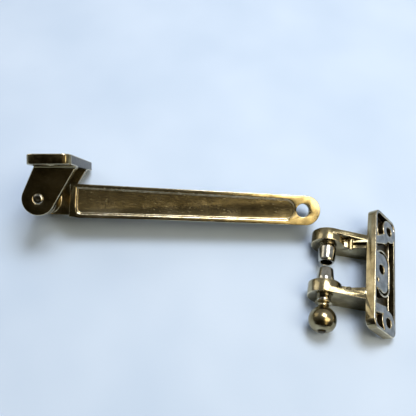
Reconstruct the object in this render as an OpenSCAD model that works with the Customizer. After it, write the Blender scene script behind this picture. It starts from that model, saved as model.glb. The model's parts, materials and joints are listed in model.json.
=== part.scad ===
// Casement window fastener in two loose halves, lying on a table at z = 0.
// Half one is the frame catch: a cast bracket whose two lugs hold a fixed nose and a sprung
// nose on one axis. Half two is the sash bracket with its pivot pin and swinging stay arm.
// +X runs along the stay towards the catch plate, +Y along the catch axis away from the knob.

/* [Screw plates] */
// Length of both screw plates
plate_length = 56.2; // [46:0.5:68]
// Width of both screw plates
plate_width = 18.4; // [15:0.1:23]
// Thickness of both screw plates
plate_thickness = 4.4; // [3.6:0.1:6]
// Bore of every screw hole
screw_bore = 4.5; // [3.5:0.1:5.5]
// Mouth of every screw countersink
screw_mouth = 8.4; // [6.6:0.1:9.6]
// Distance from the end of a plate to its outer screw
screw_inset = 5.5; // [4.9:0.1:6.5]
// Depth of the hollows cored out of the plate backs
core_depth = 3; // [1.5:0.1:3.2]

/* [Catch bracket] */
// Gap between the two lugs
catch_gap = 19.5; // [17:0.1:24]
// Height of each lug along the pin axis
lug_height = 6.05; // [5:0.05:7.4]
// Radius of the round end of each lug
lug_radius = 7.4; // [6.2:0.1:8.8]
// Distance from the pin axis to the lug side of the plate
catch_stand = 16; // [13:0.1:20]
// Distance from the pin axis to the near edge of the plate
catch_shift = 7.3; // [6:0.1:9]
// Extra length of the catch plate past its far screw
catch_overhang = 1.7; // [0:0.1:3]
// Thickness of the lug web beside its recess
lug_web = 2.5; // [1.8:0.1:3.5]

/* [Noses and plunger] */
// Largest radius of the fixed nose
nose_radius = 4.1; // [3.4:0.05:4.8]
// Radius of the sprung nose where it slides
plunger_radius = 4.05; // [3.6:0.05:4.8]
// Height of the fixed nose tip above the middle of the gap
nose_tip = 1.4; // [0.8:0.1:2.5]
// Depth of the sprung nose tip below the middle of the gap
plunger_tip = 1.9; // [0.5:0.1:2.5]
// Travel of the sprung nose
plunger_travel = 4; // [2:0.1:4.4]
// Radius of the rod that joins the sprung nose to the knob
rod_radius = 1.8; // [1.2:0.05:1.9]
// Radial gap of every running fit
running_gap = 0.05; // [0.02:0.01:0.1]
// Wire diameter of the plunger spring
spring_wire = 0.55; // [0.4:0.05:0.6]
// Number of turns of the plunger spring
spring_turns = 6.5; // [4:0.5:9]
// Radius of the pull knob's ball
knob_radius = 6.05; // [5:0.05:7.5]

/* [Sash bracket] */
// Gap between the two ears
ear_gap = 20; // [17:0.1:24]
// Thickness of each ear
ear_thickness = 4.65; // [3.9:0.05:6]
// Radius of the round end of each ear
ear_radius = 7.2; // [6.2:0.1:8.8]
// Distance from the pivot axis to the ear side of the plate
pivot_drop = 14.1; // [11.8:0.1:17]
// Distance from the pivot axis back to the outer edge of the plate
pivot_inset = 1.8; // [1:0.1:4]
// Radius of the pivot pin
pin_radius = 2.15; // [1.7:0.05:2.6]
// Thickness of each pivot washer
washer_thickness = 0.6; // [0.4:0.05:0.9]

/* [Stay arm] */
// Distance from the pivot axis to the middle of the eye
arm_reach = 118; // [96:1:142]
// Width of the arm beside the pivot
arm_root_width = 15.3; // [13:0.1:17]
// Width of the arm beside the eye
arm_tip_width = 13.8; // [12:0.1:16]
// Bore of the eye
eye_bore = 6.1; // [5:0.1:7]
// Height of the arm's front above the middle of the ears
arm_front = 3.4; // [2:0.1:4.5]
// Depth of the arm's side walls below the middle of the ears
arm_back = 9.3; // [6:0.1:9.3]
// Thickness of the arm's front panel
panel_thickness = 2.8; // [2:0.1:4]
// Thickness of the arm's side walls
wall_thickness = 2; // [1.5:0.1:3]
// Depth of the shallow recess in the arm's front
recess_depth = 0.7; // [0.4:0.1:1]

/* [Resting pose] */
// Turn of the sash half seen from above, in degrees
sash_turn = 11.2; // [0:0.1:25]
// Dip of the arm below the line of its plate, in degrees
arm_dip = 2.95; // [1:0.05:8]
// Distance between the pin axis and the pivot axis along X
halves_apart = 130.7; // [125:0.5:170]
// Offset of the pivot axis from the middle of the catch along Y
halves_offset = 5.6; // [0:0.1:10]

/* [Hidden] */
$fn = 72;

cast_zinc = [0.62, 0.53, 0.36];
bright_plate = [0.80, 0.80, 0.78];
spring_steel = [0.55, 0.56, 0.58];

// Moves the lowest, middle point of the whole set to the origin
origin_x = 53.43;
origin_y = -3.21;

bite = 0.4;            // depth that one shape reaches into the next
plate_corner = 3.6;
fillet_radius = 1.1;
rim_width = 1.3;       // rim round a cored plate back
land_radius = screw_bore / 2 + 3.2;
screw_row = plate_length / 2 - screw_inset;
sink_depth = (screw_mouth - screw_bore) / 2;

// Catch bracket: x is the plate normal, y runs across the plate, z is the pin axis
lug_in = catch_gap / 2;
lug_out = lug_in + lug_height;
catch_far = catch_shift + plate_width;
catch_mid = catch_shift + plate_width / 2;
catch_lean = atan2(catch_far, catch_stand) - asin(lug_radius / norm([catch_stand, catch_far]));
outer_screw_y = catch_mid + 3;
middle_screw_y = catch_mid - 3.5;
near_touch = tangent([catch_stand, catch_shift], lug_radius, -1);
far_touch = tangent([catch_stand, catch_far], lug_radius, 1);
lug_scale = catch_stand / 16;
rib_path = lug_scale * [[3.4, 2], [7, 3.7], [9.6, 6.4], [15, 8.4]];
pillar_at = lug_scale * [9.3, 4.6];
pillar_radius = 1.2;
tall_pillar = 1.75;    // height above the boss face
short_pillar = -0.8;

// Noses and plunger, all on the z axis of the catch
nose_neck = 3.5;
nose_point = 3.3;
nose_bore = 2.65;
nose_bore_depth = 6;
nose_shank = lug_height - 1.5;
plunger_bore = plunger_radius + running_gap;
boss_floor = 1.15;     // metal left below the plunger's bore
bore_end = lug_out - boss_floor;
plunger_base = bore_end - running_gap - plunger_travel;
plunger_point = plunger_radius - 0.6;
taper_end = plunger_tip + 5;
spring_room = plunger_radius - 0.95;
spring_seat = plunger_tip + 2.4;
rod_top = plunger_tip + 1;
spring_radius = (spring_room + rod_radius) / 2;
spring_slack = 0.02;
bush_radius = spring_room - 0.2;
flange_radius = bush_radius + 0.2;
flange_depth = 2.1;
knob_top = lug_out + flange_depth + 0.3;
neck_radius = rod_radius + 0.6;
knob_centre = knob_top + knob_radius + 2.05;
knob_flat = knob_centre + 0.84 * knob_radius;
collar_radius = neck_radius + 1.4;
rivet_height = 0.5;

// Sash bracket: x runs across the plate, y towards the plate, z is the pivot axis
ear_in = ear_gap / 2;
ear_out = ear_in + ear_thickness;
sash_right = plate_width - pivot_inset;
sash_mid = plate_width / 2 - pivot_inset;
sash_lean = atan((plate_length / 2 - ear_out) / (pivot_drop + ear_radius));
pivot_height = ear_radius * sin(sash_lean) + ear_out * cos(sash_lean);
ear_left = tangent([-pivot_inset, pivot_drop], ear_radius, 1);
ear_right = tangent([sash_right, pivot_drop], ear_radius, -1);
pin_proud = 0.5;
pin_crown = 0.35;
washer_radius = 6;
hub_half = ear_in - washer_thickness - running_gap;

// Stay arm: x runs from the pivot to the eye, z is the pivot axis
hub_radius = ear_radius - 0.1;
hub_bore = pin_radius + running_gap;
bar_start = 11.2;
tongue_top = arm_front - 1.8;
tongue_depth = min(arm_back, hub_half);
tip_centre = arm_reach + 1.2;
recess_start = 14.6;
recess_margin = 2;
recess_tip = arm_tip_width / 2 - 2.5;
recess_end = arm_reach - 4 - recess_tip;
recess_corner = 2.2;
channel_end = tip_centre;

// Point where a line from p touches a circle of radius r at the origin
function tangent(p, r, side) =
    let (turn = atan2(p[1], p[0]) + side * acos(r / norm(p))) r * [cos(turn), sin(turn)];

// Half width of the arm, less an inset, at distance s from the pivot
function arm_half(s, inset) =
    (arm_root_width + (arm_tip_width - arm_root_width) * s / arm_reach) / 2 - inset;

module in_catch()
    translate([origin_x, origin_y, lug_radius]) rotate([-90, -catch_lean, 0]) children();

module in_sash()
    translate([origin_x - halves_apart, origin_y + halves_offset, pivot_height])
        rotate([sash_lean, 0, sash_turn]) children();

module in_arm() in_sash() rotate([0, 0, -arm_dip]) children();

module both_sides() {
    children();
    mirror([0, 0, 1]) children();
}

module rounded_plate(width, length, corner) {
    square([width - 2 * corner, length], center = true);
    square([width, length - 2 * corner], center = true);
    for (x = [-1, 1], y = [-1, 1])
        translate([x * (width / 2 - corner), y * (length / 2 - corner)]) circle(corner);
}

// Concave fillet in the corner of +x and +y, drawn along z
module fillet(length)
    linear_extrude(length) difference() {
        translate([-bite, -bite]) square(fillet_radius + bite);
        translate([fillet_radius, fillet_radius]) circle(fillet_radius);
    }

// Screw hole along +z from a countersunk face at z = 0
module screw_hole() {
    translate([0, 0, -bite]) cylinder(r = screw_bore / 2, h = plate_thickness + 2 * bite);
    translate([0, 0, -bite])
        cylinder(r1 = screw_mouth / 2 + bite, r2 = screw_bore / 2, h = sink_depth + bite);
}

// Lands left standing on the back of the catch plate, x across and y along it
module catch_lands() {
    edge = plate_width / 2;
    for (y = [-screw_row, screw_row]) translate([3, y]) circle(land_radius);
    polygon([[-edge, 10.6], [-edge, 14.4], [-2, 19], [1, screw_row], [4, 18.6], [0, 14.6]]);
    polygon([[-edge, -17.8], [-edge, -22], [-1, -20], [2, -screw_row], [1, -15.8]]);
    // middle land, rounded on its far side, with a small square notch
    difference() {
        union() {
            translate([-2.4, 3.4]) circle(land_radius - 1);
            translate([-2.4, -6.2]) circle(land_radius - 1);
            translate([-2.4, -6.2]) square([land_radius - 1, 9.6]);
            translate([-edge, -10.2]) square([edge - 2.4, 17.6]);
        }
        translate([-6.9, -6.3]) square(1.8, center = true);
    }
    // thin rib that follows the middle land along the far side
    difference() {
        union() {
            translate([-2.4, 3.4]) circle(land_radius + 0.9);
            translate([-2.4, -6.2]) circle(land_radius + 0.9);
            translate([-2.4, -6.2]) square([land_radius + 0.9, 9.6]);
        }
        translate([-2.4, 3.4]) circle(land_radius + 0.1);
        translate([-2.4, -6.2]) circle(land_radius + 0.1);
        translate([-edge, -6.2]) square([edge - 2.4 + land_radius + 0.1, 9.6]);
    }
}

// Lands left standing on the back of the sash plate
module sash_lands() {
    for (y = [-screw_row, screw_row]) translate([0, y]) circle(land_radius);
    square([plate_width, 2 * ear_in - 6], center = true);
    square([1.2, plate_length - 2 * bite], center = true);
}

module plate_core(length)
    linear_extrude(core_depth + bite) difference() {
        rounded_plate(plate_width - 2 * rim_width, length - 2 * rim_width,
                      plate_corner - rim_width / 2);
        children();
    }

module lug_root()
    polygon([[catch_stand + bite, catch_shift], [catch_stand, catch_shift], near_touch, [0, 0],
             far_touch, [catch_stand, catch_far], [catch_stand + bite, catch_far]]);

module lug_body()
    polygon([[0, 0], rib_path[0], rib_path[1], rib_path[2], rib_path[3],
             [catch_stand + bite, rib_path[3][1]], [catch_stand + bite, catch_far],
             [catch_stand, catch_far], far_touch]);

// One lug above the middle of the gap
module lug(pillar_height) {
    translate([0, 0, lug_in]) {
        cylinder(r = lug_radius, h = lug_height);
        linear_extrude(lug_height) lug_body();
        translate([0, 0, lug_height - lug_web]) linear_extrude(lug_web) lug_root();
        translate([pillar_at[0], pillar_at[1], -pillar_height])
            cylinder(r = pillar_radius, h = lug_height + pillar_height - bite);
    }
    // thin rib from the pillar to the plate
    translate([pillar_at[0], pillar_at[1], lug_out - lug_web - 1.6])
        rotate([0, 0, 22]) translate([0, -0.4, 0])
            cube([(catch_stand - pillar_at[0]) / cos(22) + bite / 2, 0.8, 1.6 + bite]);
    translate([catch_stand, catch_shift + bite, lug_out]) mirror([1, 0, 0]) mirror([0, 0, 1])
        rotate([-90, 0, 0]) fillet(plate_width - fillet_radius - 2 * bite);
    translate([catch_stand, rib_path[3][1] + bite, lug_in]) mirror([1, 0, 0])
        rotate([-90, 0, 0]) fillet(catch_far - rib_path[3][1] - fillet_radius - 2 * bite);
}

module catch_bracket()
    color(cast_zinc) in_catch() difference() {
        union() {
            translate([catch_stand, catch_mid, catch_overhang / 2]) rotate([90, 0, 90])
                linear_extrude(plate_thickness)
                    rounded_plate(plate_width, plate_length + catch_overhang, plate_corner);
            lug(tall_pillar);
            mirror([0, 0, 1]) lug(short_pillar);
        }
        translate([catch_stand + plate_thickness - core_depth, catch_mid, catch_overhang / 2])
            rotate([90, 0, 90]) plate_core(plate_length + catch_overhang)
                translate([0, -catch_overhang / 2]) catch_lands();
        for (at = [[outer_screw_y, screw_row], [outer_screw_y, -screw_row], [middle_screw_y, 0]])
            translate([catch_stand, at[0], at[1]]) rotate([0, 90, 0]) screw_hole();
        translate([0, 0, lug_in - bite]) cylinder(r = nose_neck, h = nose_shank + bite);
        translate([0, 0, -bore_end]) cylinder(r = plunger_bore, h = bore_end - lug_in + bite);
        translate([0, 0, -lug_out - bite]) cylinder(r = bush_radius, h = boss_floor + 2 * bite);
    }

module fixed_nose()
    color(bright_plate) in_catch() rotate_extrude()
        polygon([[nose_neck, lug_in + nose_shank], [nose_neck, lug_in - 0.8],
                 [nose_radius, lug_in - 1.1], [nose_radius, lug_in - 1.7],
                 [nose_radius - 0.2, nose_tip + 2.8], [nose_radius - 0.45, nose_tip + 1],
                 [nose_point, nose_tip], [nose_bore, nose_tip],
                 [nose_bore, nose_tip + nose_bore_depth], [0, nose_tip + nose_bore_depth],
                 [0, lug_in + nose_shank]]);

module plunger_nose()
    color(bright_plate) in_catch() rotate_extrude()
        polygon([[0, -plunger_tip], [plunger_point - 0.5, -plunger_tip],
                 [plunger_point, -plunger_tip - 0.5], [plunger_radius, -taper_end],
                 [plunger_radius, -plunger_base], [spring_room, -plunger_base],
                 [spring_room, -spring_seat], [rod_radius, -spring_seat],
                 [rod_radius, -rod_top], [0, -rod_top]]);

module plunger_rod()
    color(bright_plate) in_catch() rotate_extrude()
        polygon([[0, -rod_top], [rod_radius, -rod_top], [rod_radius, -knob_flat],
                 [rod_radius - 0.4, -knob_flat - rivet_height],
                 [0, -knob_flat - rivet_height]]);

// Helix of round wire, built ring by ring
spring_steps = 16;
wire_steps = 6;
spring_low = bore_end - spring_wire / 2 - spring_slack;
spring_high = spring_seat + spring_wire / 2 + spring_slack;
spring_rings = floor(spring_turns * spring_steps);
spring_points = [
    for (i = [0 : spring_rings], j = [0 : wire_steps - 1])
        let (along = i / spring_rings, turn = 360 * i / spring_steps,
             spread = spring_radius + spring_wire / 2 * cos(360 * j / wire_steps))
            [spread * cos(turn), spread * sin(turn),
             -spring_low + along * (spring_low - spring_high)
             + spring_wire / 2 * sin(360 * j / wire_steps)]];
spring_faces = concat(
    [[for (j = [0 : wire_steps - 1]) j]],
    [for (i = [0 : spring_rings - 1], j = [0 : wire_steps - 1])
        let (k = (j + 1) % wire_steps, a = i * wire_steps, b = a + wire_steps)
            [a + j, b + j, b + k, a + k]],
    [[for (j = [wire_steps - 1 : -1 : 0]) spring_rings * wire_steps + j]]);

module plunger_spring()
    color(spring_steel) in_catch() polyhedron(spring_points, spring_faces);

module guide_bush()
    color(bright_plate) in_catch() rotate_extrude()
        polygon([[rod_radius + running_gap, -bore_end], [bush_radius, -bore_end],
                 [bush_radius, -lug_out], [flange_radius, -lug_out],
                 [flange_radius, -lug_out - flange_depth + 0.3],
                 [flange_radius - 0.3, -lug_out - flange_depth],
                 [rod_radius + running_gap, -lug_out - flange_depth]]);

module pull_knob()
    color(cast_zinc) in_catch() difference() {
        union() {
            translate([0, 0, -knob_centre]) rotate_extrude() intersection() {
                circle(knob_radius);
                translate([0, knob_centre - knob_flat]) square([knob_radius, 2 * knob_radius]);
            }
            translate([0, 0, -knob_centre]) cylinder(r = neck_radius, h = knob_centre - knob_top);
            translate([0, 0, -knob_top - 1])
                cylinder(r1 = neck_radius, r2 = collar_radius, h = 0.5);
            translate([0, 0, -knob_top - 0.5]) cylinder(r = collar_radius, h = 0.5);
        }
        translate([0, 0, -knob_flat - bite])
            cylinder(r = rod_radius, h = knob_flat - knob_top + 2 * bite);
    }

module ear()
    translate([0, 0, ear_in]) {
        cylinder(r = ear_radius, h = ear_thickness);
        linear_extrude(ear_thickness)
            polygon([[-pivot_inset, pivot_drop + bite], [-pivot_inset, pivot_drop], ear_left,
                     [0, 0], ear_right, [sash_right, pivot_drop],
                     [sash_right, pivot_drop + bite]]);
    }

// Fillets between an ear and its plate, inside and outside
module ear_fillets() {
    translate([-pivot_inset + bite, pivot_drop, ear_out]) mirror([0, 1, 0])
        rotate([90, 0, 90]) fillet(plate_width - 2 * bite);
    translate([-pivot_inset + bite, pivot_drop, ear_in]) mirror([0, 1, 0]) mirror([0, 0, 1])
        rotate([90, 0, 90]) fillet(plate_width - 2 * bite);
}

module sash_bracket()
    color(cast_zinc) in_sash() difference() {
        union() {
            translate([sash_mid, pivot_drop + plate_thickness, 0]) rotate([90, 0, 0])
                linear_extrude(plate_thickness)
                    rounded_plate(plate_width, plate_length, plate_corner);
            both_sides() {
                ear();
                ear_fillets();
            }
        }
        translate([sash_mid, pivot_drop + plate_thickness + bite, 0]) rotate([90, 0, 0])
            plate_core(plate_length) sash_lands();
        for (z = [-screw_row, screw_row])
            translate([sash_mid, pivot_drop, z]) rotate([-90, 0, 0]) screw_hole();
        translate([0, 0, -ear_out - bite]) cylinder(r = pin_radius, h = 2 * (ear_out + bite));
    }

module pivot_pin()
    color(bright_plate) in_sash() rotate_extrude()
        polygon([[0, -ear_out - pin_proud], [pin_radius - pin_crown, -ear_out - pin_proud],
                 [pin_radius, -ear_out - pin_proud + pin_crown],
                 [pin_radius, ear_out + pin_proud - pin_crown],
                 [pin_radius - pin_crown, ear_out + pin_proud], [0, ear_out + pin_proud]]);

// Thin washer between the hub and an ear, pressed on the pin
module washer(z)
    color(bright_plate) in_sash() translate([0, 0, z]) difference() {
        cylinder(r = washer_radius, h = washer_thickness);
        translate([0, 0, -bite]) cylinder(r = pin_radius, h = washer_thickness + 2 * bite);
    }

module front_washer() washer(ear_in - washer_thickness);
module rear_washer() washer(-ear_in);

module arm_outline(start, inset, end) {
    polygon([[start, -arm_half(start, inset)], [end, -arm_half(end, inset)],
             [end, arm_half(end, inset)], [start, arm_half(start, inset)]]);
    translate([end, 0]) circle(arm_half(end, inset));
}

// Shallow recess in the front, round at the eye end and at its lower pivot end corner
module recess_outline() {
    low = arm_half(recess_start, recess_margin);
    corner = [recess_start + recess_corner, recess_corner - low];
    polygon([[recess_start, corner[1]], corner, [corner[0], -low], [recess_end, -recess_tip],
             [recess_end, recess_tip], [recess_start, low]]);
    translate(corner) circle(recess_corner);
    translate([recess_end, 0]) circle(recess_tip);
}

module stay_arm()
    color(cast_zinc) in_arm() difference() {
        union() {
            translate([0, 0, -hub_half]) cylinder(r = hub_radius, h = 2 * hub_half);
            translate([0, 0, -tongue_depth]) linear_extrude(tongue_depth + tongue_top)
                polygon([[0, -hub_radius + 0.3], [bar_start + bite, -hub_radius + 0.3],
                         [bar_start + bite, hub_radius - 0.3], [0, hub_radius - 0.3]]);
            translate([0, 0, -arm_back]) linear_extrude(arm_back + arm_front)
                arm_outline(bar_start, 0, tip_centre);
        }
        translate([0, 0, arm_front - recess_depth]) linear_extrude(recess_depth + bite)
            recess_outline();
        translate([0, 0, -arm_back - bite])
            linear_extrude(arm_back + arm_front - panel_thickness + bite)
                arm_outline(hub_radius + 1.6, wall_thickness, channel_end);
        translate([0, 0, -hub_half - bite]) cylinder(r = hub_bore, h = 2 * (hub_half + bite));
        translate([arm_reach, 0, arm_front - panel_thickness - bite])
            cylinder(r = eye_bore / 2, h = panel_thickness + 2 * bite);
    }

catch_bracket();
fixed_nose();
plunger_nose();
plunger_rod();
plunger_spring();
guide_bush();
pull_knob();
sash_bracket();
pivot_pin();
front_washer();
rear_washer();
stay_arm();
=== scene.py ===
import json
from math import cos, radians, sin

import bmesh
import bpy
import numpy as np
from mathutils import Matrix, Vector


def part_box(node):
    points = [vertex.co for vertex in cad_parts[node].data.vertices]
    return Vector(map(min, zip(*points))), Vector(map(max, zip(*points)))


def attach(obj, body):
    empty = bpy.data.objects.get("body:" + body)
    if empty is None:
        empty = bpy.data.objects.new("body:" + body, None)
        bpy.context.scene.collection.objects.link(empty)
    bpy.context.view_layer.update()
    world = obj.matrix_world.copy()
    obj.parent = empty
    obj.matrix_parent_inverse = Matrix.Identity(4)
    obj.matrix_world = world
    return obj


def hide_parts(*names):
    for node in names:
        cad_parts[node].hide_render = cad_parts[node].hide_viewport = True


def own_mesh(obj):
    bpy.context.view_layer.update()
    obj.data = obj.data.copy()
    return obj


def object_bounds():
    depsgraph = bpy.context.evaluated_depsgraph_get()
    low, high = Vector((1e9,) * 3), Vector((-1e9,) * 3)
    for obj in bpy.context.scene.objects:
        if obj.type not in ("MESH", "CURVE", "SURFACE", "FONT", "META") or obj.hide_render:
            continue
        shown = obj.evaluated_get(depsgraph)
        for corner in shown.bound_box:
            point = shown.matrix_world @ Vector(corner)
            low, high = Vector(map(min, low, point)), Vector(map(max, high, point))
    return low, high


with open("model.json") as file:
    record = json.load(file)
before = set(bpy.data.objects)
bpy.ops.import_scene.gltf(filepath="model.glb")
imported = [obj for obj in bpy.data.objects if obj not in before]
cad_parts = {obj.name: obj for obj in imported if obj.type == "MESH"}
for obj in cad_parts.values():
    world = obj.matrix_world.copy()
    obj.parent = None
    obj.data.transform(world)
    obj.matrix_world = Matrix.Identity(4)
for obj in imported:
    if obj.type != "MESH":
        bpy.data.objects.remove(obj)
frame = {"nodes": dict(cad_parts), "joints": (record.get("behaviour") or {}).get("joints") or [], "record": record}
cadBox = [list(v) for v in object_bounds()]
record = frame["record"]
scene = bpy.context.scene
mm = 0.001
mounts = {m["name"]: m for m in record["mounts"]}
joints = {j["name"]: j for j in frame["joints"]}
print("frame loaded,", len(frame["nodes"]), "CAD pieces")


def linearColour(hexText):
    # sRGB curve: c / 12.92 in the darks, ((c + 0.055) / 1.055) ^ 2.4 above
    c = np.array([int(hexText[i:i + 2], 16) / 255 for i in (1, 3, 5)])
    return tuple(np.where(c <= 0.04045, c / 12.92, ((c + 0.055) / 1.055) ** 2.4)) + (1.0,)


def addNode(tree, kind, settings=None, stops=(), **inputs):
    # inputs are socket names with _ for a space, or i and a number; a value is set, a socket is linked;
    # stops are the (position, sRGB hex) pairs of a colour ramp
    n = tree.nodes.new(kind)
    for key, value in (settings or {}).items():
        setattr(n, key, value)
    for k, (at, colour) in enumerate(stops):
        band = n.color_ramp.elements
        e = band[k] if k < 2 else band.new(at)
        e.position, e.color = at, linearColour(colour)
    for key, value in inputs.items():
        byNumber = key[0] == "i" and key[1:].isdigit()
        socket = n.inputs[int(key[1:]) if byNumber else key.replace("_", " ")]
        if isinstance(value, bpy.types.NodeSocket):
            tree.links.new(value, socket)
        else:
            socket.default_value = value
    return n


def newMaterial(name, base, metallic, roughness):
    m = bpy.data.materials.new(name)
    m.use_nodes = True
    tree = m.node_tree
    shader = tree.nodes["Principled BSDF"]
    shader.inputs["Base Color"].default_value = linearColour(base)
    shader.inputs["Metallic"].default_value = metallic
    shader.inputs["Roughness"].default_value = roughness
    where = addNode(tree, "ShaderNodeTexCoord").outputs["Object"]
    return m, tree, shader, where


def platedZinc(name, look):
    # Bright antique plating over a polished die casting: it mirrors, with the lazy ripple of
    # the casting under it, cloudy darker patches and fine rubbing marks.
    m, tree, shader, where = newMaterial(name, look["mid"], 1.0, look["roughness"])
    cloud = addNode(tree, "ShaderNodeTexNoise", Vector=where, Scale=1 / (look["cloudMm"] * mm),
                    Detail=3.0, Roughness=0.55).outputs["Fac"]
    colour = addNode(tree, "ShaderNodeValToRGB", i0=cloud, stops=[
        (0.32, look["dark"]), (0.7, look["pale"]), (0.5, look["mid"])]).outputs["Color"]
    speck = addNode(tree, "ShaderNodeTexNoise", Vector=where, Scale=1 / (0.35 * mm),
                    Detail=2.0, Roughness=0.6).outputs["Fac"]
    pit = addNode(tree, "ShaderNodeMapRange", Value=speck, From_Min=0.3, From_Max=0.42,
                  To_Min=look["pitting"], To_Max=0.0).outputs["Result"]
    stained = addNode(tree, "ShaderNodeMix", {"data_type": "RGBA"}, Factor=pit)
    tree.links.new(colour, stained.inputs[6])
    stained.inputs[7].default_value = linearColour(look["dark"])
    tree.links.new(stained.outputs[2], shader.inputs["Base Color"])
    rub = addNode(tree, "ShaderNodeMapping", Vector=where, Scale=(1.0, 9.0, 9.0))
    marks = addNode(tree, "ShaderNodeTexNoise", Vector=rub.outputs["Vector"], Scale=1 / (2.6 * mm),
                    Detail=4.0, Roughness=0.7).outputs["Fac"]
    spread = addNode(tree, "ShaderNodeMapRange", Value=marks, From_Min=0.3, From_Max=0.75,
                     To_Min=look["roughness"] * 0.75, To_Max=look["roughness"] * 1.5)
    tree.links.new(spread.outputs["Result"], shader.inputs["Roughness"])
    ripple = addNode(tree, "ShaderNodeTexNoise", Vector=where, Scale=1 / (look["rippleMm"] * mm),
                     Detail=2.0, Roughness=0.5).outputs["Fac"]
    bump = addNode(tree, "ShaderNodeBump", Height=ripple, Strength=look["ripple"], Distance=0.12 * mm)
    fine = addNode(tree, "ShaderNodeBump", Height=speck, Strength=0.12, Distance=0.02 * mm,
                   Normal=bump.outputs["Normal"])
    tree.links.new(fine.outputs["Normal"], shader.inputs["Normal"])
    return m


# bronzePlate: dark bronze plating polished bright over the cast bodies; reads as olive mirror metal
bronzePlate = platedZinc("antiqueBronzePlating", dict(
    dark="#75694c", mid="#968a6a", pale="#b3a88a", roughness=0.19, cloudMm=7.0, pitting=0.4,
    rippleMm=2.4, ripple=0.3))
# the arm's front: a paler, golder copy of the body's plating, a painted reflection of the bright light that front
# faces
paintedFrontReflection = platedZinc("armFrontPaintedReflection", dict(
    dark="#8f8466", mid="#b5a985", pale="#cfc4a4", roughness=0.2, cloudMm=9.0, pitting=0.3,
    rippleMm=2.8, ripple=0.25))
# the pale cream-gold painted highlight on every rounded edge, standing in for the bright line that each edge
# catches
paintedEdgeHighlight = platedZinc("paintedEdgeHighlightPlating", dict(
    dark="#b5a684", mid="#d3c6a6", pale="#e6dcc4", roughness=0.22, cloudMm=4.0, pitting=0.2,
    rippleMm=2.0, ripple=0.2))
# nickelPlate: bright nickel over turned steel; a clean, almost white mirror
nickelPlate = platedZinc("brightNickelPlating", dict(
    dark="#8f8b80", mid="#b0aca0", pale="#cbc7bb", roughness=0.13, cloudMm=5.0, pitting=0.15,
    rippleMm=1.8, ripple=0.15))
# the mounting faces: a broad bluish grey painted reflection of the pale table cloth
tableReflectionPaint = platedZinc("mountingFaceTableReflection", dict(
    dark="#7f8487", mid="#94999c", pale="#a9adaf", roughness=0.5, cloudMm=3.0, pitting=0.4,
    rippleMm=1.2, ripple=0.35))
# painted shade: one dark, dull plating colour laid in the cored pockets, on the arm's back and on the plunger rod,
# where shade falls
paintedShadeDark = platedZinc("paintedShadeInCores", dict(
    dark="#231e13", mid="#3a3222", pale="#524933", roughness=0.35, cloudMm=3.0, pitting=0.5,
    rippleMm=1.5, ripple=0.5))
# drawnSteel: coiled from bright drawn wire, left oiled; cold grey
drawnSteel = platedZinc("drawnSpringSteel", dict(
    dark="#6f7072", mid="#8e9092", pale="#a6a8aa", roughness=0.3, cloudMm=2.0, pitting=0.2,
    rippleMm=1.0, ripple=0.2))
print("materials made")


def axesOf(origin, z, towards):
    # a frame with its origin, its z axis, and x as near as it can be to a direction
    z = Vector(z).normalized()
    x = Vector(towards)
    x = (x - z * x.dot(z)).normalized()
    y = z.cross(x)
    m = Matrix((x, y, z)).transposed().to_4x4()
    m.translation = Vector(origin)
    return m


def merged(node):
    # a copy of a CAD piece, its loose triangles joined and its flat faces made whole
    bm = bmesh.new()
    bm.from_mesh(frame["nodes"][node].data)
    bmesh.ops.remove_doubles(bm, verts=bm.verts, dist=0.004 * mm)
    bmesh.ops.dissolve_limit(bm, angle_limit=radians(0.4), verts=bm.verts, edges=bm.edges,
                             use_dissolve_boundaries=False)
    bm.normal_update()
    return bm


def finishPiece(bm, name, node, body, materials, smooth=40):
    bm.normal_update()
    mesh = bpy.data.meshes.new(name)
    bm.to_mesh(mesh)
    bm.free()
    obj = bpy.data.objects.new(name, mesh)
    scene.collection.objects.link(obj)
    for m in materials:
        mesh.materials.append(m)
    mesh.polygons.foreach_set("use_smooth", np.ones(len(mesh.polygons), bool))
    mesh.set_sharp_from_angle(angle=radians(smooth))
    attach(obj, body)
    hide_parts(*([node] if isinstance(node, str) else node))
    return obj


def softenEdges(bm, width, segments, least=32, keepOff=None):
    # rounds every edge that turns by more than a few degrees; the rounding takes material 1, the painted edge
    # highlight
    edges = [e for e in bm.edges if len(e.link_faces) == 2 and e.calc_face_angle(0) > radians(least)
             and not (keepOff and keepOff(e))]
    bmesh.ops.bevel(bm, geom=edges, offset=width, segments=segments, profile=0.5,
                    affect="EDGES", clamp_overlap=False, material=1, loop_slide=True)


def finishBack(bm, normal, level, depth=4.3, inset=0.7):
    # a plate's back: material 2, a painted table reflection, on the mounting face; material 3, painted shade,
    # on the pocket floors and on the walls of pockets and screw bores, which stand further than inset inside the
    # plate's outline
    across = axesOf((0, 0, 0), normal, (0, 1, 0)).inverted()
    rim = [across @ v.co for v in bm.verts if abs(v.co.dot(normal) - level) < 0.05 * mm]
    low = [min(v[k] for v in rim) + inset * mm for k in (0, 1)]
    high = [max(v[k] for v in rim) - inset * mm for k in (0, 1)]
    for f in bm.faces:
        c = f.calc_center_median()
        at, height, facing = across @ c, c.dot(normal), f.normal.dot(normal)
        if facing > 0.98 and abs(height - level) < 0.05 * mm:
            f.material_index = 2
        elif facing > 0.9 and level - 3.2 * mm < height < level - 0.3 * mm:
            f.material_index = 3
        elif (abs(facing) < 0.35 and level - depth * mm < height < level and f.material_index != 1
                and all(low[k] < at[k] < high[k] for k in (0, 1))):
            f.material_index = 3


def gridMesh(points, closeU, closeV):
    # points is an array (n, m, 3); neighbours in both directions share a quad
    n, m, _ = points.shape
    i = np.arange(n if closeU else n - 1)
    j = np.arange(m if closeV else m - 1)
    a, b = np.meshgrid(i, j, indexing="ij")
    a1, b1 = (a + 1) % n, (b + 1) % m
    quads = np.stack([a * m + b, a * m + b1, a1 * m + b1, a1 * m + b], axis=-1).reshape(-1, 4)
    return points.reshape(-1, 3), quads


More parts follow.
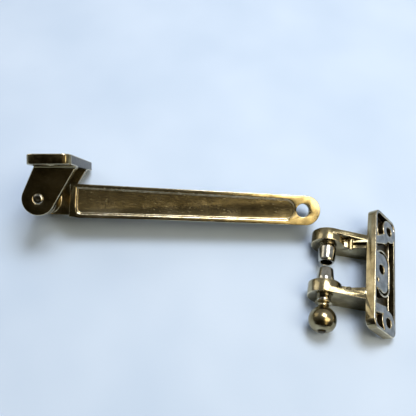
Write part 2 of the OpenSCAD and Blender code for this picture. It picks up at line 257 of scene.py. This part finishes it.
def turned(profile, place, steps=96):
    # surface of revolution: (r cos t, r sin t, z) for each profile point (r, z) and angle t
    profile = np.array(profile, float) * mm
    t = np.linspace(0, 2 * np.pi, steps, endpoint=False)[None, :]
    r, z = profile[:, :1], profile[:, 1:]
    pts = np.stack([r * np.cos(t), r * np.sin(t), z + 0 * t], axis=-1)
    verts, quads = gridMesh(pts, False, True)
    turn = np.array(place)
    mesh = bpy.data.meshes.new("turned")
    mesh.from_pydata(verts @ turn[:3, :3].T + turn[:3, 3], [], quads.tolist())
    bm = bmesh.new()
    bm.from_mesh(mesh)
    bpy.data.meshes.remove(mesh)
    bmesh.ops.remove_doubles(bm, verts=bm.verts, dist=0.001 * mm)
    bmesh.ops.recalc_face_normals(bm, faces=bm.faces)
    return bm


def roundCorners(points, radius, steps=5):
    # each inner corner of a profile becomes a quadratic curve that starts radius before it
    pts = [np.array(p, float) for p in points]
    out = [pts[0]]
    for before, at, after in zip(pts, pts[1:], pts[2:]):
        d0, d1 = before - at, after - at
        r = min(radius, np.linalg.norm(d0) * 0.45, np.linalg.norm(d1) * 0.45)
        a = at + d0 / np.linalg.norm(d0) * r
        b = at + d1 / np.linalg.norm(d1) * r
        k = np.linspace(0, 1, steps)[:, None]
        out += list((1 - k) ** 2 * a + 2 * k * (1 - k) * at + k ** 2 * b)
    return out + [pts[-1]]


noseLow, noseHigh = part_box("fixed_nose")
pinCentre = Vector(((noseLow.x + noseHigh.x) / 2, 0, (noseLow.z + noseHigh.z) / 2))
# z of the catch frame runs along +Y, x as the plate's normal runs
catchFrame = axesOf(pinCentre, (0, 1, 0), mounts["catch_face"]["axis"])
plateNormal = Vector(mounts["catch_face"]["axis"])
plateLevel = Vector(mounts["catch_face"]["pos_m"]).dot(plateNormal)

# the fillets under the lugs end within this band of heights and this far from the gap's middle
catchLook = dict(edgeRound=0.32, edgeSteps=3, filletBand=(14.7, 16.15), filletReach=(8.5, 17.2))
gapMiddle = mounts["catch_screw_middle"]["pos_m"][1]
pinLevel = pinCentre.dot(plateNormal)


def atCatchFillet(e):
    low, high = (v * mm for v in catchLook["filletBand"])
    near, far = (v * mm for v in catchLook["filletReach"])
    return all(low < v.co.dot(plateNormal) - pinLevel < high and near < abs(v.co.y - gapMiddle) < far
               for v in e.verts)


bm = merged("catch_bracket")
softenEdges(bm, catchLook["edgeRound"] * mm, catchLook["edgeSteps"], keepOff=atCatchFillet)
finishBack(bm, plateNormal, plateLevel)
catchCasting = finishPiece(bm, "catchCasting", "catch_bracket", "catch",
                           [bronzePlate, paintedEdgeHighlight, tableReflectionPaint, paintedShadeDark])
print("catch casting", len(catchCasting.data.polygons), "faces")

# noses, bush, rod and knob are turned parts; profiles are (radius, distance along +Y) in mm
turnedNodes = ("fixed_nose", "plunger_nose", "guide_bush", "pull_knob", "plunger_rod")
spans = {n: [v.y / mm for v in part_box(n)] for n in turnedNodes}
wide = {n: (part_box(n)[1].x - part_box(n)[0].x) / 2 / mm for n in turnedNodes}

# fixed nose: hollow from its tip, tapered, and pressed into its lug by a plain shank
fixedLook = dict(bore=2.65, boreDepth=6, mouth=3.3, tip=3.65, shank=3.5, cornerRound=0.35)
low, high = spans["fixed_nose"]
r = wide["fixed_nose"]
profile = [(0.0, low + fixedLook["boreDepth"]), (fixedLook["bore"], low + fixedLook["boreDepth"]),
           (fixedLook["bore"], low), (fixedLook["mouth"], low), (fixedLook["tip"], low + 1),
           (r - 0.2, low + 2.8), (r, low + 6.65), (r, low + 7.25),
           (fixedLook["shank"], low + 7.55), (fixedLook["shank"], high), (0.0, high)]
finishPiece(turned(roundCorners(profile, fixedLook["cornerRound"]), catchFrame),
            "fixedNose", "fixed_nose", "catch", [nickelPlate])

# sprung nose: a short taper outside; the bore's corners stay sharp, so the spring seats flat
plungerLook = dict(bore=3.1, seat=2.4, rod=1.8, taper=5.0, cornerRound=0.4)
low, high = spans["plunger_nose"]
r = wide["plunger_nose"]
outside = [(0.0, high), (r - 1.1, high), (r - 0.6, high - 0.5), (r, high - plungerLook["taper"]),
           (r, low), (plungerLook["bore"], low)]
inside = [(plungerLook["bore"], high - plungerLook["seat"]),
          (plungerLook["rod"], high - plungerLook["seat"]), (plungerLook["rod"], high - 1), (0.0, high - 1)]
profile = roundCorners(outside, plungerLook["cornerRound"]) + inside
finishPiece(turned(profile, catchFrame), "sprungNose", "plunger_nose", "plunger",
            [nickelPlate])

# guide bush: a sleeve in the lug with a thin flange outside it
bushLook = dict(bore=1.85, sleeve=2.9, flange=2.1, cornerRound=0.18)
low, high = spans["guide_bush"]
r = wide["guide_bush"]
profile = [(bushLook["bore"], high), (bushLook["sleeve"], high),
           (bushLook["sleeve"], low + bushLook["flange"]), (r, low + bushLook["flange"]),
           (r, low + 0.3), (r - 0.3, low),
           (bushLook["bore"], low), (bushLook["bore"], high)]
finishPiece(turned(roundCorners(profile, bushLook["cornerRound"]), catchFrame),
            "guideBush", "guide_bush", "catch", [nickelPlate])

# plunger rod: plain, its end riveted over below the knob
rodLook = dict(radius=1.8, rivet=1.35, cornerRound=0.3)
low, high = spans["plunger_rod"]
profile = [(0.0, high), (rodLook["radius"], high), (rodLook["radius"], low + 0.5),
           (rodLook["rivet"], low), (0.0, low)]
# the rod takes the dark painted shade, as it sits inside the coil and the bush
finishPiece(turned(roundCorners(profile, rodLook["cornerRound"]), catchFrame),
            "plungerRod", "plunger_rod", "plunger", [paintedShadeDark])

# pull knob: a collar, a waisted neck running into a ball, and a shallow domed end
knobLook = dict(bore=1.8, neck=2.4, collar=3.8, ballCentre=0.84, fromAngle=-26, toAngle=62, cornerRound=0.35)
low, high = spans["pull_knob"]
r = wide["pull_knob"]
centre = low + knobLook["ballCentre"] * r
dome = [(knobLook["bore"], low + 0.2), (2.3, low + 0.02), (3.6, low + 0.45), (4.7, low + 1.25)]
ballAngles = np.radians(np.linspace(knobLook["fromAngle"], knobLook["toAngle"], 30))
ball = [(r * cos(a), centre + r * sin(a)) for a in ballAngles]
ballTop = centre + r * sin(radians(knobLook["toAngle"]))
neck = [(knobLook["neck"], ballTop + 0.75), (knobLook["neck"], high - 1.0), (knobLook["collar"], high - 0.5),
        (knobLook["collar"], high), (knobLook["bore"], high), (knobLook["bore"], low + 0.2)]
finishPiece(turned(roundCorners(dome + ball + neck, knobLook["cornerRound"]), catchFrame),
            "pullKnob", "pull_knob", "plunger", [bronzePlate])

spring = frame["nodes"]["plunger_spring"]
spring.data.materials.clear()
spring.data.materials.append(drawnSteel)
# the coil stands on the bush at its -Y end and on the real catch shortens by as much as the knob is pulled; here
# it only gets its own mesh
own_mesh(spring)
print("catch half done")

swing = joints["stay_swing"]
pivotAt, pivotAxis = Vector(swing["pos_m"]), Vector(swing["axis"])
eyeAt = Vector(mounts["arm_eye"]["pos_m"])
armFrame = axesOf(pivotAt, pivotAxis, eyeAt - pivotAt)
eyeReach = (armFrame.inverted() @ eyeAt).x
# the eye mount is the middle of the panel, half a panel under the arm's front
armTop = 3.4 * mm

# the fillets of the ears lie within this height over the plate's face, this far along it
sashLook = dict(edgeRound=0.36, edgeSteps=3, filletHeight=1.4, filletReach=(8.7, 16.0), plate=4.4)
sashNormal = Vector(mounts["sash_face"]["axis"])
sashLevel = Vector(mounts["sash_face"]["pos_m"]).dot(sashNormal)
sashMiddle = Vector(mounts["sash_face"]["pos_m"]).dot(pivotAxis)


def atSashFillet(e):
    face = sashLevel - sashLook["plate"] * mm
    near, far = (v * mm for v in sashLook["filletReach"])
    return all(-sashLook["filletHeight"] * mm < v.co.dot(sashNormal) - face < 0.05 * mm
               and near < abs(v.co.dot(pivotAxis) - sashMiddle) < far for v in e.verts)


bm = merged("sash_bracket")
softenEdges(bm, sashLook["edgeRound"] * mm, sashLook["edgeSteps"], keepOff=atSashFillet)
finishBack(bm, sashNormal, sashLevel)
finishPiece(bm, "sashCasting", "sash_bracket", "sash",
            [bronzePlate, paintedEdgeHighlight, tableReflectionPaint, paintedShadeDark])

armLook = dict(edgeRound=0.3, edgeSteps=3, recessSlope=0.58)
bm = merged("stay_arm")
toArm = armFrame.inverted()


def onRecessMouth(e):
    # an edge of the arm's front whose side wall looks into the shallow recess
    a, b = (toArm @ v.co for v in e.verts)
    if abs(a.z - armTop) > 0.02 * mm or abs(b.z - armTop) > 0.02 * mm:
        return False
    mid = (a + b) / 2
    if (mid.xy - Vector((eyeReach, 0))).length < 3.4 * mm:
        return False
    for f in e.link_faces:
        side = toArm.to_3x3() @ f.normal
        if abs(side.z) < 0.5:
            inside = mid + side * 0.3 * mm
            return 14.6 * mm < inside.x < eyeReach - 4 * mm and abs(inside.y) < 5.7 * mm
    return False


mouth = [e for e in bm.edges if len(e.link_faces) == 2 and onRecessMouth(e)]
bmesh.ops.bevel(bm, geom=mouth, offset=armLook["recessSlope"] * mm, segments=1, profile=0.5,
                affect="EDGES", clamp_overlap=False, loop_slide=True)
bm.normal_update()
softenEdges(bm, armLook["edgeRound"] * mm, armLook["edgeSteps"], least=30)
# front faces take material 2, the paler copy painted as the front's reflection
for f in bm.faces:
    c, side = toArm @ f.calc_center_median(), toArm.to_3x3() @ f.normal
    if f.material_index == 0 and side.z > 0.9 and c.z > 2 * mm:
        f.material_index = 2
    # faces on the arm's back take material 3, painted shade
    if f.material_index != 1 and c.z < 1 * mm and side.z < -0.9 and c.z > -1 * mm:
        f.material_index = 3
finishPiece(bm, "stayCasting", "stay_arm", "stay",
            [bronzePlate, paintedEdgeHighlight, paintedFrontReflection, paintedShadeDark])

# the pin's ends are peened over to low domes with a dimple
pinFrame = axesOf(pivotAt, pivotAxis, (1, 0, 0))
pinMesh = frame["nodes"]["pivot_pin"].data
corners = np.empty(3 * len(pinMesh.vertices))
pinMesh.vertices.foreach_get("co", corners)
turn = np.array(pinFrame.inverted())
corners = (corners.reshape(-1, 3) @ turn[:3, :3].T + turn[:3, 3]) / mm
half = corners[:, 2].max()
r = np.hypot(corners[:, 0], corners[:, 1]).max()
dome = [(0.0, half - 0.22), (0.5, half - 0.14), (1.0, half - 0.02), (1.5, half - 0.1),
        (1.9, half - 0.26), (r, half - 0.5)]
profile = dome + [(p, -q) for p, q in reversed(dome)]
finishPiece(turned(roundCorners(profile, 0.2), pinFrame),
            "pivotPin", "pivot_pin", "sash", [nickelPlate])
for n in ("front_washer", "rear_washer"):
    frame["nodes"][n].data.materials.clear()
    frame["nodes"][n].data.materials.append(nickelPlate)
print("sash half done")


def clothTable():
    # fine pale blue cotton on the table: a plain weave about half a millimetre across
    m, tree, shader, where = newMaterial("paleBlueTableCloth", "#c9dbf4", 0.0, 0.85)
    tone = addNode(tree, "ShaderNodeTexNoise", Vector=where, Scale=1 / (60 * mm), Detail=2.0).outputs["Fac"]
    cotton = addNode(tree, "ShaderNodeValToRGB", i0=tone, stops=[(0.3, "#bfd3ee"), (0.7, "#cbddf6")])
    tree.links.new(cotton.outputs["Color"], shader.inputs["Base Color"])
    weave = addNode(tree, "ShaderNodeTexNoise", Vector=where, Scale=1 / (0.6 * mm),
                    Detail=2.0).outputs["Fac"]
    bump = addNode(tree, "ShaderNodeBump", Height=weave, Strength=0.15, Distance=0.1 * mm)
    tree.links.new(bump.outputs["Normal"], shader.inputs["Normal"])
    return m


floorMesh = bpy.data.meshes.new("table")
floorMesh.from_pydata([(-3, -3, 0), (3, -3, 0), (3, 3, 0), (-3, 3, 0)], [], [(0, 1, 2, 3)])
floorMesh.materials.append(clothTable())
table = bpy.data.objects.new("table", floorMesh)
table.location.z = cadBox[0][2] - 0.02 * mm
scene.collection.objects.link(table)


def softBox(name, at, aim, size, power, colour):
    data = bpy.data.lights.new(name, "AREA")
    data.shape = "RECTANGLE"
    data.size, data.size_y = size
    data.energy = power
    data.color = linearColour(colour)[:3]
    lamp = bpy.data.objects.new(name, data)
    lamp.location = at
    lamp.rotation_euler = (Vector(aim) - Vector(at)).to_track_quat("-Z", "Y").to_euler()
    scene.collection.objects.link(lamp)
    return lamp


softBox("windowLight", (0.08, 0.2, 0.62), (0, 0, 0), (0.3, 0.26), 3.0, "#ffffff")
softBox("rightCard", (0.42, -0.12, 0.62), (0.03, 0, 0), (0.3, 0.5), 1.9, "#fff0d2")
softBox("goldCard", (0.27, -0.3, 0.54), (0.04, 0.02, 0.01), (0.16, 0.4), 0.45, "#ffe8b4")
softBox("leftCard", (-0.6, 0.25, 0.25), (0, 0, 0), (0.3, 0.5), 0.7, "#fff8ea")

world = bpy.data.worlds.new("studio")
world.use_nodes = True
tree = world.node_tree
ray = addNode(tree, "ShaderNodeTexCoord").outputs["Generated"]
parts = addNode(tree, "ShaderNodeSeparateXYZ", Vector=ray)
# brighter towards the back of the room, darker over the front
back = addNode(tree, "ShaderNodeMapRange", Value=parts.outputs["Y"], From_Min=-0.75, From_Max=0.6,
               To_Min=0.0, To_Max=1.0).outputs["Result"]
sky = addNode(tree, "ShaderNodeValToRGB", i0=back, stops=[
    (0.2, "#403b2c"), (1.0, "#f4f7fb"), (0.36, "#7f7d74"), (0.7, "#dfe5ec")]).outputs["Color"]
glow = tree.nodes["Background"]
tree.links.new(sky, glow.inputs["Color"])
glow.inputs["Strength"].default_value = 0.42
scene.world = world

# angles in degrees, distance, aim and lens in mm
cameraLook = dict(heading=-7.0, elevation=58.5, roll=3.17, distance=276, aim=(-4.77, 21.29, 0.0),
                  lens=48.46)
heading, elevation = radians(cameraLook["heading"]), radians(cameraLook["elevation"])
forward = Vector((sin(heading) * cos(elevation), cos(heading) * cos(elevation), -sin(elevation)))
level = forward.cross(Vector((0, 0, 1))).normalized()
upright = level.cross(forward)
roll = radians(cameraLook["roll"])
right = level * cos(roll) + upright * sin(roll)
data = bpy.data.cameras.new("camera")
data.sensor_width = 36
data.lens = cameraLook["lens"]
data.clip_start = 0.01
camera = bpy.data.objects.new("camera", data)
turnTo = Matrix((right, right.cross(forward), -forward)).transposed().to_4x4()
turnTo.translation = Vector(cameraLook["aim"]) * mm - forward * cameraLook["distance"] * mm
camera.matrix_world = turnTo
scene.collection.objects.link(camera)
scene.camera = camera
scene.view_settings.view_transform = "Standard"
print("table, light and camera set")
